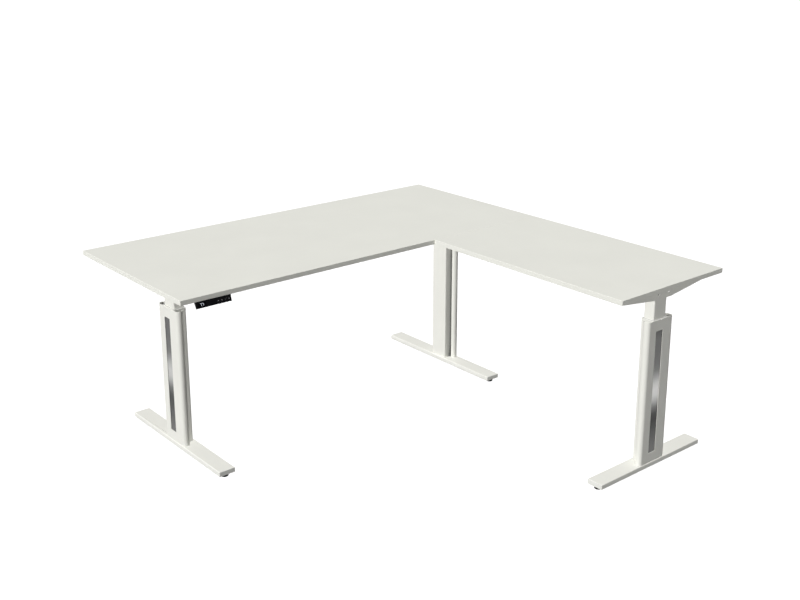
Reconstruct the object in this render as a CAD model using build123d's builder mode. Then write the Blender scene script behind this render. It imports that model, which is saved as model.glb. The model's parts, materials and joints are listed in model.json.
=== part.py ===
from build123d import *
from collections import namedtuple
import os

os.makedirs("parts", exist_ok=True)

# Height adjustable L-shaped desk. Origin: on the floor, in the middle of the desk's outline.
# X runs along the main top, Y from the return's free end towards the back, Z up. Millimetres.

# ---------------------------------------------------------------- driving dimensions
TABLE_HEIGHT = 775
MAIN_LENGTH = 1800
MAIN_DEPTH = 800
RETURN_LENGTH = 1000
RETURN_WIDTH = 600
BOARD_THICKNESS = 19
BAND_THICKNESS = 2
BAND_ROUNDING = 1
SEAM_GAP = 0.5

FOOT_WIDTH = 70
FOOT_HEIGHT = 20
FOOT_WALL = 2
FOOT_CORNER = 3
FOOT_BOTTOM = 12
FOOT_OVERHANG = 2
MAIN_FOOT_LENGTH = 700
RETURN_FOOT_LENGTH = 600
CAP_THICKNESS = 4
CAP_CROWN = 1.5
CAP_TAPER = 40
CAP_PLUG_LENGTH = 9
CAP_PLUG_PLAY = 0.4

GLIDE_INSET = 22
GLIDE_RADIUS = 15
GLIDE_HEIGHT = 10
GLIDE_CHAMFER = 1
GLIDE_ROUNDING = 2
GLIDE_STEM_GAP = 2
GLIDE_STEM_RADIUS = 4
INSERT_RADIUS = 5.5
INSERT_LENGTH = 12
INSERT_FLANGE_RADIUS = 7.5
INSERT_FLANGE_THICKNESS = 1.5

MAIN_COLUMN_TOP = 605
RETURN_COLUMN_TOP = 622
LEG_INSET = 155
RETURN_LEG_INSET = 50
COVER_WIDTH = 152
COVER_DEPTH = 32
COVER_SHEET = 1.5
COVER_ROUNDING = 15
COVER_LIP = 15
WINDOW_CORNER = 1
WINDOW_WIDTH = 40
WINDOW_OFFSET = -6
WINDOW_BOTTOM = 74
WINDOW_MARGIN = 44
STRIP_MARGIN = 7
STRIP_THICKNESS = 1.5

OUTER_WIDTH = 90
OUTER_DEPTH = 56
LIFT_WIDTH = 75
LIFT_DEPTH = 46
TUBE_WALL = 2
TUBE_CORNER = 6
TUBE_CENTRE = 31
LIFT_TUBE_BOTTOM = 96
RUNNING_GAP = 0.1
GUIDE_HEIGHT = 40

BASE_PLATE = 6
STANDPIPE_RADIUS = 11
STANDPIPE_BORE = 8
NUT_RADIUS = 15
NUT_BOTTOM = 522
NUT_HEIGHT = 36
NUT_SPIGOT = 12
SPINDLE_RADIUS = 6
SPINDLE_BOTTOM = 95
SPINDLE_NECK_RADIUS = 4
SPINDLE_NECK_LENGTH = 14
SPINDLE_CLEARANCE = 0.05
SPINDLE_END_GAP = 1
SPINDLE_CHAMFER = 1
MOTOR_RADIUS = 18
GEARBOX_RADIUS = 19
GEARBOX_BOTTOM = 621
MOTOR_TOP = 751
MOTOR_HOLE_RADIUS = 19.5
MOTOR_FLANGE = (48, 42, 4)
MOTOR_FLANGE_CORNER = 4
MOTOR_ROUNDING = 2

ARM_WIDTH = 78
ARM_OVERHANG = 4
ARM_SHEET = 2.5
ARM_DEEP = 50
ARM_SHALLOW = 25
ARM_FLAT = 90
ARM_FLOOR = 3
MAIN_ARM_LENGTH = 700
RETURN_ARM_LENGTH = 480
ACCESS_OPENING = (84, 54)
ACCESS_CORNER = 5
ACCESSORY_HOLE_RADIUS = 3.5
ACCESSORY_HOLE_SPACING = 62
ACCESSORY_HOLE_DROP = 48

RAIL_HEIGHT = 25
RAIL_WALL = 2
RAIL_DROP = 3
MAIN_RAIL_WIDTH = 40
MAIN_RAIL_OFFSET = 130
RETURN_RAIL_WIDTH = 30
RETURN_RAIL_OFFSET = 32
RAIL_PLATE = 3
RAIL_PLATE_HEIGHT = 30
RAIL_PLATE_EXTRA = 15
RAIL_BOLT_RADIUS = 3
RAIL_BOLT_HEAD = (5, 4)

JOINING_PLATE = (50, 120, 3)
JOINING_PLATE_CORNER = 4
JOINING_SCREWS_ALONG = (-15, 15)
JOINING_SCREWS_ACROSS = (-45, -18, 18, 45)
JOINING_PLATE_CENTRES = (350, 480, 820)

FOOT_SCREW_GRID = (60, 36)
FOOT_SCREW_RADIUS = 4
FOOT_SCREW_HEAD = (6.5, 7)
HEX_SOCKET_FLOOR = 2
DRIVER_HOLE_RADIUS = 8
ARM_SCREW_GRID = (58, 30)
ARM_SCREW_RADIUS = 3
ARM_SCREW_HEAD = (5, 4)
BOARD_SCREW_RADIUS = 2.4
BOARD_SCREW_HEAD = (5, 3)
BOARD_SCREW_DEPTH = 13
ARM_BOARD_SCREW_EDGE = 14
ARM_BOARD_SCREW_ENDS = (30, 110)
SCREW_HOLE_RADIUS = 2.75

BOX_SIZE = (280, 110, 38)
BOX_WALL = 2.5
BOX_CORNER = 6
BOX_ROUNDING = 3
BOX_EAR = (22, 86)
BOX_EAR_THICKNESS = 3
SOCKET_PANEL = (190, 26)
SOCKET_PANEL_DEPTH = 10
SOCKET_DEPTH = 8
MOTOR_SOCKET = (16, 13)
MOTOR_SOCKET_PLACES = (-52, -26, 0)
CONTROLLER_SOCKET = (13, 12)
CONTROLLER_SOCKET_PLACE = -78
MAINS_INLET = (30, 20)
MAINS_INLET_CORNER = 3
MAINS_INLET_PLACE = 60
CIRCUIT_BOARD = (250, 90, 1.6)
CIRCUIT_BOARD_GAP = 3
COMPONENT = (44, 40, 20)
COMPONENT_PLACES = (-80, 20, 85)
COMPONENT_OFFSET = 12

KEYPAD_LENGTH = 146
KEYPAD_START = 60
KEYPAD_OVERHANG = 2
KEYPAD_REACH = 8
KEYPAD_DROP = 23.5
KEYPAD_EDGE = (4, 1)
KEYPAD_EDGE_ROUNDING = 1.5
KEYPAD_WEDGE = 9
KEYPAD_FLANGE = 3.5
KEYPAD_BACK = 45
KEYPAD_SCREWS_ALONG = (20, 104)
KEYPAD_SCREW_DEPTH = 28
DISPLAY_SIZE = (34, 17)
DISPLAY_CENTRE = 24
DISPLAY_THICKNESS = 1.2
DISPLAY_CORNER = 1.5
KEY_CENTRES = (91, 106, 121, 136)
KEY_NAMES = ("key_up", "key_down", "key_memory_one", "key_memory_two")
KEY_RADIUS = 4.9
KEY_HOLE_DEPTH = 3.2
KEY_PROUD = 0.8
KEY_THICKNESS = 2.6
KEY_ROUNDING = 0.6

# ---------------------------------------------------------------- derived places
BOARD_BOTTOM = TABLE_HEIGHT - BOARD_THICKNESS
HALF_LENGTH = MAIN_LENGTH / 2
HALF_SPAN = (MAIN_DEPTH + RETURN_LENGTH) / 2
SEAM_Y = HALF_SPAN - MAIN_DEPTH
MAIN_CENTRE_Y = SEAM_Y + MAIN_DEPTH / 2
RETURN_CENTRE_X = HALF_LENGTH - RETURN_WIDTH / 2
FOOT_TOP = FOOT_BOTTOM + FOOT_HEIGHT
FOOT_CENTRE = FOOT_WIDTH / 2 - FOOT_OVERHANG
LIFT_TUBE_TOP = BOARD_BOTTOM - ARM_DEEP
ARM_CENTRE = ARM_WIDTH / 2 - ARM_OVERHANG
ARM_INNER_FACE = ARM_WIDTH - ARM_OVERHANG
RAIL_TOP = BOARD_BOTTOM - RAIL_DROP
RAIL_MIDDLE = RAIL_TOP - RAIL_HEIGHT / 2

Leg = namedtuple("Leg", "name x y along foot_length column_top arm_length")
LEGS = (
    Leg("left", -HALF_LENGTH + LEG_INSET, MAIN_CENTRE_Y, (0, -1, 0),
        MAIN_FOOT_LENGTH, MAIN_COLUMN_TOP, MAIN_ARM_LENGTH),
    Leg("middle", HALF_LENGTH - LEG_INSET, MAIN_CENTRE_Y, (0, 1, 0),
        MAIN_FOOT_LENGTH, MAIN_COLUMN_TOP, MAIN_ARM_LENGTH),
    Leg("return", RETURN_CENTRE_X, -HALF_SPAN + RETURN_LEG_INSET, (1, 0, 0),
        RETURN_FOOT_LENGTH, RETURN_COLUMN_TOP, RETURN_ARM_LENGTH),
)


# A leg's own directions: u along its foot, v inwards from the cover's outer face, z up.
def level_plane(leg, height):
    """Horizontal plane at a height: sketch x is u, sketch y is v."""
    return Plane(origin=(leg.x, leg.y, height), x_dir=leg.along, z_dir=(0, 0, 1))


def side_plane(leg, v):
    """Upright plane facing outwards at depth v: sketch x is u, sketch y is z."""
    level = level_plane(leg, 0)
    return Plane(origin=level.from_local_coords((0, v, 0)), x_dir=level.x_dir, z_dir=-level.y_dir)


def end_plane(leg, u):
    """Upright plane across the foot at position u: sketch x is v, sketch y is z."""
    level = level_plane(leg, 0)
    return Plane(origin=level.from_local_coords((u, 0, 0)), x_dir=level.y_dir, z_dir=level.x_dir)


def glide_positions(leg):
    """The two places along a foot where its glides stand."""
    reach = leg.foot_length / 2 - GLIDE_INSET
    return (-reach, reach)


def arm_screw_positions(leg):
    """Board screws of one arm, four along each edge of its top."""
    reach = leg.arm_length / 2
    across = ARM_WIDTH / 2 - ARM_BOARD_SCREW_EDGE
    places = []
    for inset in ARM_BOARD_SCREW_ENDS:
        for u in (-reach + inset, reach - inset):
            for side in (-1, 1):
                places.append((u, ARM_CENTRE + side * across))
    return places


def rail_positions(leg):
    """Where rails meet a leg's arm, along the arm."""
    offset = RETURN_RAIL_OFFSET if leg.name == "return" else MAIN_RAIL_OFFSET
    return (-offset, offset)


def rail_bolt_places(leg, u):
    """Bolt places of one rail end, in a side plane: one each side of the rail."""
    width = RETURN_RAIL_WIDTH if leg.name == "return" else MAIN_RAIL_WIDTH
    reach = width / 2 + RAIL_PLATE_EXTRA / 2
    return [(u - reach, RAIL_MIDDLE), (u + reach, RAIL_MIDDLE)]


def window_shape(leg):
    """Middle of a cover's window, in a side plane, and the window's height."""
    window_top = leg.column_top - WINDOW_MARGIN
    return (WINDOW_OFFSET, (WINDOW_BOTTOM + window_top) / 2), window_top - WINDOW_BOTTOM


# ---------------------------------------------------------------- feet
def make_foot(leg):
    """Flat rectangular tube that stands across the end of the desk."""
    length = leg.foot_length - 2 * CAP_THICKNESS
    with BuildPart() as foot:
        with BuildSketch(end_plane(leg, -length / 2)):
            with Locations((FOOT_CENTRE, FOOT_BOTTOM + FOOT_HEIGHT / 2)):
                RectangleRounded(FOOT_WIDTH, FOOT_HEIGHT, FOOT_CORNER)
                RectangleRounded(FOOT_WIDTH - 2 * FOOT_WALL, FOOT_HEIGHT - 2 * FOOT_WALL,
                                 FOOT_CORNER - FOOT_WALL, mode=Mode.SUBTRACT)
        extrude(amount=length)
        with BuildSketch(level_plane(leg, FOOT_BOTTOM)):
            with Locations((0, TUBE_CENTRE)):
                with GridLocations(*FOOT_SCREW_GRID, 2, 2):
                    Circle(DRIVER_HOLE_RADIUS)
            with Locations(*[(u, FOOT_CENTRE) for u in glide_positions(leg)]):
                Circle(INSERT_RADIUS)
        extrude(amount=FOOT_WALL, mode=Mode.SUBTRACT)
        with BuildSketch(level_plane(leg, FOOT_TOP - FOOT_WALL)):
            with Locations((0, TUBE_CENTRE)):
                with GridLocations(*FOOT_SCREW_GRID, 2, 2):
                    Circle(FOOT_SCREW_RADIUS)
        extrude(amount=FOOT_WALL, mode=Mode.SUBTRACT)
    foot.part.label = f"{leg.name}_foot"
    export_step(foot.part, f"parts/{leg.name}_foot.step")


def make_glide(leg, place, u):
    """Levelling glide: a round pad on a threaded stem, screwed fully in."""
    with BuildPart() as glide:
        with BuildSketch(level_plane(leg, 0)):
            with Locations((u, FOOT_CENTRE)):
                Circle(GLIDE_RADIUS)
        extrude(amount=GLIDE_HEIGHT)
        chamfer(glide.edges().group_by(Axis.Z)[0], GLIDE_CHAMFER)
        fillet(glide.edges().group_by(Axis.Z)[-1], GLIDE_ROUNDING)
        with BuildSketch(level_plane(leg, GLIDE_HEIGHT)):
            with Locations((u, FOOT_CENTRE)):
                Circle(GLIDE_STEM_RADIUS)
        extrude(amount=FOOT_TOP - FOOT_WALL - GLIDE_STEM_GAP - GLIDE_HEIGHT)
    glide.part.label = f"{leg.name}_glide_{place}"
    export_step(glide.part, f"parts/{leg.name}_glide_{place}.step")


def make_foot_end_caps():
    """Plug in each end of each foot, with a rounded outer face."""
    with BuildPart() as foot_end_caps:
        for leg in LEGS:
            for side in (-1, 1):
                inner_face = side * (leg.foot_length / 2 - CAP_THICKNESS)
                with BuildSketch(end_plane(leg, inner_face)):
                    with Locations((FOOT_CENTRE, FOOT_BOTTOM + FOOT_HEIGHT / 2)):
                        RectangleRounded(FOOT_WIDTH, FOOT_HEIGHT, FOOT_CORNER)
                extrude(amount=side * (CAP_THICKNESS - CAP_CROWN))
                with BuildSketch(end_plane(leg, inner_face + side * (CAP_THICKNESS - CAP_CROWN))):
                    with Locations((FOOT_CENTRE, FOOT_BOTTOM + FOOT_HEIGHT / 2)):
                        RectangleRounded(FOOT_WIDTH, FOOT_HEIGHT, FOOT_CORNER)
                extrude(amount=side * CAP_CROWN, taper=CAP_TAPER)
                with BuildSketch(end_plane(leg, inner_face)):
                    with Locations((FOOT_CENTRE, FOOT_BOTTOM + FOOT_HEIGHT / 2)):
                        RectangleRounded(FOOT_WIDTH - 2 * FOOT_WALL - CAP_PLUG_PLAY,
                                         FOOT_HEIGHT - 2 * FOOT_WALL - CAP_PLUG_PLAY,
                                         FOOT_CORNER - FOOT_WALL)
                extrude(amount=-side * CAP_PLUG_LENGTH)
    foot_end_caps.part.label = "foot_end_caps"
    export_step(foot_end_caps.part, "parts/foot_end_caps.step")


def make_glide_inserts():
    """Flanged threaded insert over each glide, pressed into the foot's lower wall."""
    with BuildPart() as glide_inserts:
        for leg in LEGS:
            places = [(u, FOOT_CENTRE) for u in glide_positions(leg)]
            with BuildSketch(level_plane(leg, FOOT_BOTTOM)):
                with Locations(*places):
                    Circle(INSERT_RADIUS)
                    Circle(GLIDE_STEM_RADIUS + SPINDLE_CLEARANCE, mode=Mode.SUBTRACT)
            extrude(amount=INSERT_LENGTH)
            with BuildSketch(level_plane(leg, FOOT_BOTTOM + FOOT_WALL)):
                with Locations(*places):
                    Circle(INSERT_FLANGE_RADIUS)
                    Circle(INSERT_RADIUS, mode=Mode.SUBTRACT)
            extrude(amount=INSERT_FLANGE_THICKNESS)
    glide_inserts.part.label = "glide_inserts"
    export_step(glide_inserts.part, "parts/glide_inserts.step")


def make_foot_screws():
    """Screws from inside each foot up into the column's base plate."""
    head_radius, head_height = FOOT_SCREW_HEAD
    head_top = FOOT_TOP - FOOT_WALL
    with BuildPart() as foot_screws:
        for leg in LEGS:
            with BuildSketch(level_plane(leg, head_top - head_height)):
                with Locations((0, TUBE_CENTRE)):
                    with GridLocations(*FOOT_SCREW_GRID, 2, 2):
                        Circle(head_radius)
                        RegularPolygon(head_radius / 2, 6, mode=Mode.SUBTRACT)
            extrude(amount=head_height - HEX_SOCKET_FLOOR)
            with BuildSketch(level_plane(leg, head_top - HEX_SOCKET_FLOOR)):
                with Locations((0, TUBE_CENTRE)):
                    with GridLocations(*FOOT_SCREW_GRID, 2, 2):
                        Circle(head_radius)
            extrude(amount=HEX_SOCKET_FLOOR)
            with BuildSketch(level_plane(leg, head_top)):
                with Locations((0, TUBE_CENTRE)):
                    with GridLocations(*FOOT_SCREW_GRID, 2, 2):
                        Circle(FOOT_SCREW_RADIUS)
            extrude(amount=FOOT_WALL + BASE_PLATE)
    foot_screws.part.label = "foot_screws"
    export_step(foot_screws.part, "parts/foot_screws.step")


# ---------------------------------------------------------------- fixed half of each column
def make_standpipe(leg):
    """Base plate inside the outer tube, with the standpipe that carries the spindle nut."""
    with BuildPart() as standpipe:
        with BuildSketch(level_plane(leg, FOOT_TOP)):
            with Locations((0, TUBE_CENTRE)):
                RectangleRounded(OUTER_WIDTH - 2 * TUBE_WALL - 4 * RUNNING_GAP,
                                 OUTER_DEPTH - 2 * TUBE_WALL - 4 * RUNNING_GAP,
                                 TUBE_CORNER - TUBE_WALL)
                with GridLocations(*FOOT_SCREW_GRID, 2, 2):
                    Circle(FOOT_SCREW_RADIUS, mode=Mode.SUBTRACT)
        extrude(amount=BASE_PLATE)
        with BuildSketch(level_plane(leg, FOOT_TOP + BASE_PLATE)):
            with Locations((0, TUBE_CENTRE)):
                Circle(STANDPIPE_RADIUS)
                Circle(STANDPIPE_BORE, mode=Mode.SUBTRACT)
        extrude(amount=NUT_BOTTOM - FOOT_TOP - BASE_PLATE)
    standpipe.part.label = f"{leg.name}_standpipe"
    export_step(standpipe.part, f"parts/{leg.name}_standpipe.step")


def make_outer_tube(leg):
    """Fixed rectangular tube of the column."""
    with BuildPart() as outer_tube:
        with BuildSketch(level_plane(leg, FOOT_TOP)):
            with Locations((0, TUBE_CENTRE)):
                RectangleRounded(OUTER_WIDTH, OUTER_DEPTH, TUBE_CORNER)
                RectangleRounded(OUTER_WIDTH - 2 * TUBE_WALL, OUTER_DEPTH - 2 * TUBE_WALL,
                                 TUBE_CORNER - TUBE_WALL, mode=Mode.SUBTRACT)
        extrude(amount=leg.column_top - FOOT_TOP)
    outer_tube.part.label = f"{leg.name}_outer_tube"
    export_step(outer_tube.part, f"parts/{leg.name}_outer_tube.step")


def make_cover(leg):
    """Folded sheet cover: a broad face with a window, and a rounded hollow edge down each side."""
    window_centre, window_height = window_shape(leg)
    with BuildPart() as cover:
        with BuildSketch(level_plane(leg, FOOT_TOP)):
            with Locations((0, COVER_DEPTH / 2)):
                RectangleRounded(COVER_WIDTH, COVER_DEPTH, COVER_ROUNDING)
                RectangleRounded(COVER_WIDTH - 2 * COVER_SHEET, COVER_DEPTH - 2 * COVER_SHEET,
                                 COVER_ROUNDING - COVER_SHEET, mode=Mode.SUBTRACT)
            with Locations((0, COVER_DEPTH)):
                Rectangle(COVER_WIDTH - 2 * COVER_LIP, 4 * COVER_SHEET, mode=Mode.SUBTRACT)
        extrude(amount=leg.column_top - FOOT_TOP)
        with BuildSketch(side_plane(leg, 0)):
            with Locations(window_centre):
                RectangleRounded(WINDOW_WIDTH, window_height, WINDOW_CORNER)
        extrude(amount=-COVER_SHEET, mode=Mode.SUBTRACT)
    cover.part.label = f"{leg.name}_cover"
    export_step(cover.part, f"parts/{leg.name}_cover.step")


def make_decor_strip(leg):
    """Metallic strip behind the cover's window, held between the cover and the outer tube."""
    window_centre, window_height = window_shape(leg)
    with BuildPart() as decor_strip:
        with BuildSketch(side_plane(leg, COVER_SHEET)):
            with Locations(window_centre):
                Rectangle(WINDOW_WIDTH + 2 * STRIP_MARGIN, window_height + 2 * STRIP_MARGIN)
        extrude(amount=-STRIP_THICKNESS)
    decor_strip.part.label = f"{leg.name}_decor_strip"
    export_step(decor_strip.part, f"parts/{leg.name}_decor_strip.step")


def make_guide_collars():
    """Plastic collar in each outer tube's mouth, which the lift tube slides through."""
    with BuildPart() as guide_collars:
        for leg in LEGS:
            with BuildSketch(level_plane(leg, leg.column_top - GUIDE_HEIGHT)):
                with Locations((0, TUBE_CENTRE)):
                    RectangleRounded(OUTER_WIDTH - 2 * TUBE_WALL, OUTER_DEPTH - 2 * TUBE_WALL,
                                     TUBE_CORNER - TUBE_WALL)
                    RectangleRounded(LIFT_WIDTH + 2 * RUNNING_GAP, LIFT_DEPTH + 2 * RUNNING_GAP,
                                     TUBE_CORNER + RUNNING_GAP, mode=Mode.SUBTRACT)
            extrude(amount=GUIDE_HEIGHT)
    guide_collars.part.label = "guide_collars"
    export_step(guide_collars.part, "parts/guide_collars.step")


def make_spindle_nuts():
    """Plastic nut on top of each standpipe, with a spigot that sits in the pipe's bore."""
    bore = SPINDLE_RADIUS + SPINDLE_CLEARANCE
    with BuildPart() as spindle_nuts:
        for leg in LEGS:
            with BuildSketch(level_plane(leg, NUT_BOTTOM)):
                with Locations((0, TUBE_CENTRE)):
                    Circle(NUT_RADIUS)
                    Circle(bore, mode=Mode.SUBTRACT)
            extrude(amount=NUT_HEIGHT)
            with BuildSketch(level_plane(leg, NUT_BOTTOM - NUT_SPIGOT)):
                with Locations((0, TUBE_CENTRE)):
                    Circle(STANDPIPE_BORE)
                    Circle(bore, mode=Mode.SUBTRACT)
            extrude(amount=NUT_SPIGOT)
    spindle_nuts.part.label = "spindle_nuts"
    export_step(spindle_nuts.part, "parts/spindle_nuts.step")


# ---------------------------------------------------------------- moving half of each column
def make_lift_tube(leg):
    """Inner tube that rises out of the column, with the plate that closes its top."""
    with BuildPart() as lift_tube:
        with BuildSketch(level_plane(leg, LIFT_TUBE_BOTTOM)):
            with Locations((0, TUBE_CENTRE)):
                RectangleRounded(LIFT_WIDTH, LIFT_DEPTH, TUBE_CORNER)
                RectangleRounded(LIFT_WIDTH - 2 * TUBE_WALL, LIFT_DEPTH - 2 * TUBE_WALL,
                                 TUBE_CORNER - TUBE_WALL, mode=Mode.SUBTRACT)
        extrude(amount=LIFT_TUBE_TOP - LIFT_TUBE_BOTTOM)
        with BuildSketch(level_plane(leg, LIFT_TUBE_TOP - BASE_PLATE)):
            with Locations((0, TUBE_CENTRE)):
                RectangleRounded(LIFT_WIDTH - 2 * TUBE_WALL, LIFT_DEPTH - 2 * TUBE_WALL,
                                 TUBE_CORNER - TUBE_WALL)
                Circle(MOTOR_HOLE_RADIUS, mode=Mode.SUBTRACT)
                with GridLocations(*ARM_SCREW_GRID, 2, 2):
                    Circle(ARM_SCREW_RADIUS, mode=Mode.SUBTRACT)
        extrude(amount=BASE_PLATE)
    lift_tube.part.label = f"{leg.name}_lift_tube"
    export_step(lift_tube.part, f"parts/{leg.name}_lift_tube.step")


def make_lift_tube_shoes():
    """Plastic shoe round the lower end of each lift tube, which slides in the outer tube."""
    with BuildPart() as lift_tube_shoes:
        for leg in LEGS:
            with BuildSketch(level_plane(leg, LIFT_TUBE_BOTTOM)):
                with Locations((0, TUBE_CENTRE)):
                    RectangleRounded(OUTER_WIDTH - 2 * TUBE_WALL - 4 * RUNNING_GAP,
                                     OUTER_DEPTH - 2 * TUBE_WALL - 4 * RUNNING_GAP,
                                     TUBE_CORNER - TUBE_WALL)
                    RectangleRounded(LIFT_WIDTH, LIFT_DEPTH, TUBE_CORNER, mode=Mode.SUBTRACT)
            extrude(amount=GUIDE_HEIGHT)
    lift_tube_shoes.part.label = "lift_tube_shoes"
    export_step(lift_tube_shoes.part, "parts/lift_tube_shoes.step")


def make_motor(leg):
    """Tubular motor and gearbox that hangs in the lift tube from its flange on the arm."""
    flange_width, flange_depth, flange_thickness = MOTOR_FLANGE
    flange_bottom = LIFT_TUBE_TOP + ARM_FLOOR
    with BuildPart() as motor:
        with BuildSketch(level_plane(leg, GEARBOX_BOTTOM)):
            with Locations((0, TUBE_CENTRE)):
                Circle(GEARBOX_RADIUS)
        extrude(amount=flange_bottom - GEARBOX_BOTTOM)
        with BuildSketch(level_plane(leg, flange_bottom)):
            with Locations((0, TUBE_CENTRE)):
                RectangleRounded(flange_width, flange_depth, MOTOR_FLANGE_CORNER)
        extrude(amount=flange_thickness)
        with BuildSketch(level_plane(leg, flange_bottom + flange_thickness)):
            with Locations((0, TUBE_CENTRE)):
                Circle(MOTOR_RADIUS)
        extrude(amount=MOTOR_TOP - flange_bottom - flange_thickness)
        fillet(motor.edges().group_by(Axis.Z)[-1], MOTOR_ROUNDING)
        with BuildSketch(level_plane(leg, GEARBOX_BOTTOM)):
            with Locations((0, TUBE_CENTRE)):
                Circle(SPINDLE_NECK_RADIUS + SPINDLE_CLEARANCE)
        extrude(amount=SPINDLE_NECK_LENGTH + SPINDLE_END_GAP, mode=Mode.SUBTRACT)
    motor.part.label = f"{leg.name}_motor"
    export_step(motor.part, f"parts/{leg.name}_motor.step")


def make_spindle(leg):
    """Lead screw below the motor. Its neck turns in the gearbox, and its thread runs in the nut."""
    shoulder = GEARBOX_BOTTOM - SPINDLE_END_GAP
    with BuildPart() as spindle:
        with BuildSketch(level_plane(leg, SPINDLE_BOTTOM)):
            with Locations((0, TUBE_CENTRE)):
                Circle(SPINDLE_RADIUS)
        extrude(amount=shoulder - SPINDLE_BOTTOM)
        chamfer(spindle.edges().group_by(Axis.Z)[0], SPINDLE_CHAMFER)
        with BuildSketch(level_plane(leg, shoulder)):
            with Locations((0, TUBE_CENTRE)):
                Circle(SPINDLE_NECK_RADIUS)
        extrude(amount=SPINDLE_NECK_LENGTH)
    spindle.part.label = f"{leg.name}_spindle"
    export_step(spindle.part, f"parts/{leg.name}_spindle.step")


# ---------------------------------------------------------------- frame under the tops
def make_arm(leg):
    """Inverted channel under the top, deep over the column and shallow at its ends."""
    half = leg.arm_length / 2
    deep = BOARD_BOTTOM - ARM_DEEP
    shallow = BOARD_BOTTOM - ARM_SHALLOW
    inner_top = BOARD_BOTTOM - ARM_SHEET
    below = deep - 1
    inner_half = half - ARM_SHEET
    with BuildPart() as arm:
        with BuildSketch(side_plane(leg, -ARM_OVERHANG)):
            with BuildLine():
                Polyline((-half, BOARD_BOTTOM), (-half, shallow), (-ARM_FLAT / 2, deep),
                         (ARM_FLAT / 2, deep), (half, shallow), (half, BOARD_BOTTOM), close=True)
            make_face()
        extrude(amount=-ARM_WIDTH)
        with BuildSketch(side_plane(leg, ARM_SHEET - ARM_OVERHANG)):
            with BuildLine():
                Polyline((-inner_half, inner_top), (-inner_half, below), (inner_half, below),
                         (inner_half, inner_top), close=True)
            make_face()
        extrude(amount=2 * ARM_SHEET - ARM_WIDTH, mode=Mode.SUBTRACT)
        with BuildSketch(level_plane(leg, deep)):
            with Locations((0, ARM_CENTRE)):
                Rectangle(ARM_FLAT, ARM_WIDTH - ARM_SHEET)
            with Locations((0, TUBE_CENTRE)):
                Circle(MOTOR_HOLE_RADIUS, mode=Mode.SUBTRACT)
                with GridLocations(*ARM_SCREW_GRID, 2, 2):
                    Circle(ARM_SCREW_RADIUS, mode=Mode.SUBTRACT)
        extrude(amount=ARM_FLOOR)
        with BuildSketch(level_plane(leg, inner_top)):
            with Locations((0, TUBE_CENTRE)):
                RectangleRounded(*ACCESS_OPENING, ACCESS_CORNER)
            with Locations(*arm_screw_positions(leg)):
                Circle(SCREW_HOLE_RADIUS)
        extrude(amount=ARM_SHEET, mode=Mode.SUBTRACT)
        with BuildSketch(side_plane(leg, -ARM_OVERHANG)):
            with Locations((0, TABLE_HEIGHT - ACCESSORY_HOLE_DROP)):
                with GridLocations(ACCESSORY_HOLE_SPACING, 1, 2, 1):
                    Circle(ACCESSORY_HOLE_RADIUS)
        extrude(amount=-ARM_SHEET, mode=Mode.SUBTRACT)
        for u in rail_positions(leg):
            with BuildSketch(side_plane(leg, ARM_INNER_FACE)):
                with Locations(*rail_bolt_places(leg, u)):
                    Circle(RAIL_BOLT_RADIUS)
            extrude(amount=ARM_SHEET, mode=Mode.SUBTRACT)
    arm.part.label = f"{leg.name}_arm"
    export_step(arm.part, f"parts/{leg.name}_arm.step")


def make_arm_screws():
    """Screws through each arm's floor into the plate in the top of the lift tube."""
    head_radius, head_height = ARM_SCREW_HEAD
    head_bottom = LIFT_TUBE_TOP + ARM_FLOOR
    with BuildPart() as arm_screws:
        for leg in LEGS:
            with BuildSketch(level_plane(leg, LIFT_TUBE_TOP - BASE_PLATE)):
                with Locations((0, TUBE_CENTRE)):
                    with GridLocations(*ARM_SCREW_GRID, 2, 2):
                        Circle(ARM_SCREW_RADIUS)
            extrude(amount=BASE_PLATE + ARM_FLOOR)
            with BuildSketch(level_plane(leg, head_bottom)):
                with Locations((0, TUBE_CENTRE)):
                    with GridLocations(*ARM_SCREW_GRID, 2, 2):
                        Circle(head_radius)
            extrude(amount=head_height)
    arm_screws.part.label = "arm_screws"
    export_step(arm_screws.part, "parts/arm_screws.step")


# The three rail runs: a plane across each rail's start, its length and its width.
MAIN_RAIL_START = -HALF_LENGTH + LEG_INSET + ARM_INNER_FACE
MAIN_RAIL_LENGTH = -2 * MAIN_RAIL_START
RETURN_RAIL_START = -HALF_SPAN + RETURN_LEG_INSET + ARM_INNER_FACE
FRONT_RAIL_FACE = MAIN_CENTRE_Y - MAIN_RAIL_OFFSET - MAIN_RAIL_WIDTH / 2
RETURN_RAIL_LENGTH = FRONT_RAIL_FACE - RETURN_RAIL_START


def main_rail_plane(side, x):
    """Plane across the front (-1) or back (1) main rail at x, facing along +X."""
    y = MAIN_CENTRE_Y + side * MAIN_RAIL_OFFSET
    return Plane(origin=(x, y, RAIL_MIDDLE), x_dir=(0, 1, 0), z_dir=(1, 0, 0))


def return_rail_plane(side, y):
    """Plane across the left (-1) or right (1) return rail at y, facing along +Y."""
    x = RETURN_CENTRE_X + side * RETURN_RAIL_OFFSET
    return Plane(origin=(x, y, RAIL_MIDDLE), x_dir=(-1, 0, 0), z_dir=(0, 1, 0))


def bolt_pair(width):
    """Bolt places in a rail's end plate, one each side of the tube."""
    reach = (width + RAIL_PLATE_EXTRA) / 2
    return [(-reach, 0), (reach, 0)]


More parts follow.
